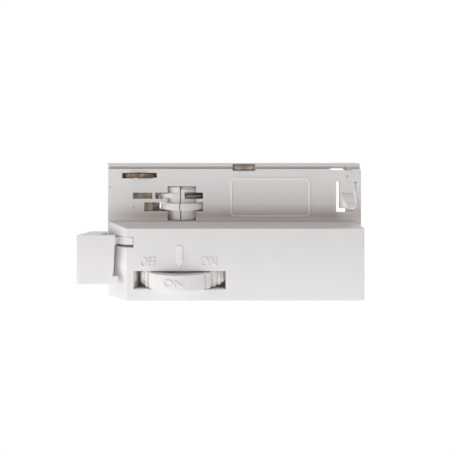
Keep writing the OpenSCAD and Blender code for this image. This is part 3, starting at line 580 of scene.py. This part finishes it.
profile = [(FLOOR_FRONT, 0), (FLOOR_BACK, 0)]
for step in range(1, CURVE_STEPS + 1):
    turn = math.radians(90 * step / CURVE_STEPS)
    rise = CURVE_RADIUS - CURVE_RADIUS * math.cos(turn)
    profile.append((FLOOR_BACK + CURVE_RADIUS * math.sin(turn), rise))
profile.append((FLOOR_BACK + CURVE_RADIUS, WALL_TOP))
points = [(x, y, z) for y, z in profile for x in (-HALF_WIDTH, HALF_WIDTH)]
quads = [(2 * i, 2 * i + 1, 2 * i + 3, 2 * i + 2) for i in range(len(profile) - 1)]
sweep_mesh = bpy.data.meshes.new("sweep")
sweep_mesh.from_pydata(points, [], quads)
sweep = bpy.data.objects.new("studio_sweep", sweep_mesh)
scene.collection.objects.link(sweep)
sweep.visible_shadow = False

glow = Finish(bpy.data.materials.new("sweep_glow"))
near = glow.along(glow.place(), 1).between(-0.11, -0.085)
light_color = glow.tint(near, DIM_GREY, WHITE)
lamp = glow.node("ShaderNodeEmission", {}, {"Color": light_color, "Strength": GLOW})
sweep_mesh.materials.append(glow.show(lamp))
print("sweep faces:", len(sweep_mesh.polygons))

# %% [markdown]
# Most of the light comes from the left of the camera: one large softbox level with the object, one low, one
# high for the shoulder. A single lamp would leave hard black shadows. A weak fill in front and another to the
# right keep the shades open, a panel overhead lights the ledges, and one behind it whitens the top, which the
# camera hardly sees.

# %% Softboxes
MIDDLE = Vector((-10 * MM, 0, 28 * MM))


def softbox(name, direction, distance, size, watts, color):
    data = bpy.data.lights.new(name, "AREA")
    data.shape = "DISK"
    data.size = size
    data.energy = watts
    data.color = color
    box = bpy.data.objects.new(name, data)
    heading = Vector(direction).normalized()
    box.location = MIDDLE + heading * distance
    box.rotation_euler = heading.to_track_quat("Z", "Y").to_euler()
    scene.collection.objects.link(box)


softbox("key_left", (-0.78, -0.60, -0.15), 0.7, 0.55, 1.3, WHITE)
softbox("key_below", (-0.30, -0.62, -0.74), 0.7, 0.45, 0.30, WHITE)
softbox("key_shoulder", (-0.85, -0.28, 0.45), 0.7, 0.3, 1.05, (1.0, 0.99, 0.99))
softbox("fill_front", (0.05, -1.0, 0.05), 0.9, 0.25, 0.68, (1.0, 0.99, 0.98))
softbox("fill_right", (0.75, -0.70, -0.35), 0.7, 0.4, 0.32, (1.0, 0.98, 0.96))
softbox("panel_above", (0.45, -0.25, 1.0), 0.8, 0.6, 0.5, (1.0, 0.98, 0.98))
softbox("panel_behind", (0.5, 0.30, 1.0), 0.8, 0.3, 1.1, (0.96, 0.99, 1.0))
print("softboxes:", len(bpy.data.lights))

# %% [markdown]
# The hollows in the photograph are brown rather than black. Milky plastic can let light through its thin
# walls, and to trace that truly would take many samples, so tiny warm lights stand in for it. Some shine all
# round, and some only inward. Each has its place in millimetres and its power in watts.

# %% Light in the hollows
WARM = (1.0, 0.89, 0.82)
NEUTRAL = (0.98, 0.945, 0.92)
SPOT_WIDE_MM = 1.5
POINT_SOFT_MM = 1.0


def seep(name, x, y, z, watts, kind="POINT", color=WARM, turn=0):
    data = bpy.data.lights.new(name, kind)
    data.energy = watts
    data.color = color
    if kind == "AREA":
        data.shape = "DISK"
        data.size = SPOT_WIDE_MM * MM
    else:
        data.shadow_soft_size = POINT_SOFT_MM * MM
    spill = bpy.data.objects.new(name, data)
    spill.location = (x * MM, y * MM, z * MM)
    spill.rotation_euler = (math.radians(90), 0, math.radians(turn))
    spill.visible_camera = False
    spill.visible_glossy = False
    scene.collection.objects.link(spill)


seep("seep_well_left", -49.2, -13.0, 8.0, 0.00012)
seep("seep_left_deep", -49.6, -11.5, 8.0, 0.00005, "AREA", turn=40)
seep("seep_well_right", -16.5, -13.0, 8.0, 0.00005)
seep("seep_right_deep", -14.4, -12.5, 6.0, 0.00008, "AREA")
seep("seep_wheel_top", WHEEL_X_MM, -8.0, 13.4, 0.00005)
seep("seep_tongue", 37.5, -2.0, 40, 0.0014, color=NEUTRAL)
seep("seep_handle_gap", -57.2, -15.5, 13.5, 0.00006)
seep("seep_arm_slot", -53.0, -11.0, 19.6, 0.00004)
seep("seep_riser", -42.5, -5.0, 39.5, 0.00010)
seep("seep_slot_deep", -43.8, -5.5, 37.2, 0.00012, "AREA")
print("lights:", len(bpy.data.lights))

# %% [markdown]
# A dim warm sky fills the shade that is left. Seen past the end of the sweep it would be a brown background,
# so the camera's own rays meet a plain grey in its place. The Standard view keeps white paper white.

# %% Sky
SKY_RGB = (1.0, 0.78, 0.70)
SKY_STRENGTH = 0.156

world = bpy.data.worlds.new("soft_sky")
scene.world = world
air = Finish(world, "ShaderNodeOutputWorld")
sky = air.node("ShaderNodeBackground", {}, {"Color": SKY_RGB, "Strength": SKY_STRENGTH})
paper = air.node("ShaderNodeBackground", {}, {"Color": DIM_GREY})
seen = air.node("ShaderNodeLightPath", out="Is Camera Ray")
air.show(air.node("ShaderNodeMixShader", {}, {0: seen, 1: sky, 2: paper}))
scene.view_settings.view_transform = "Standard"
print("sky:", world.name, "tone:", scene.view_settings.view_transform)
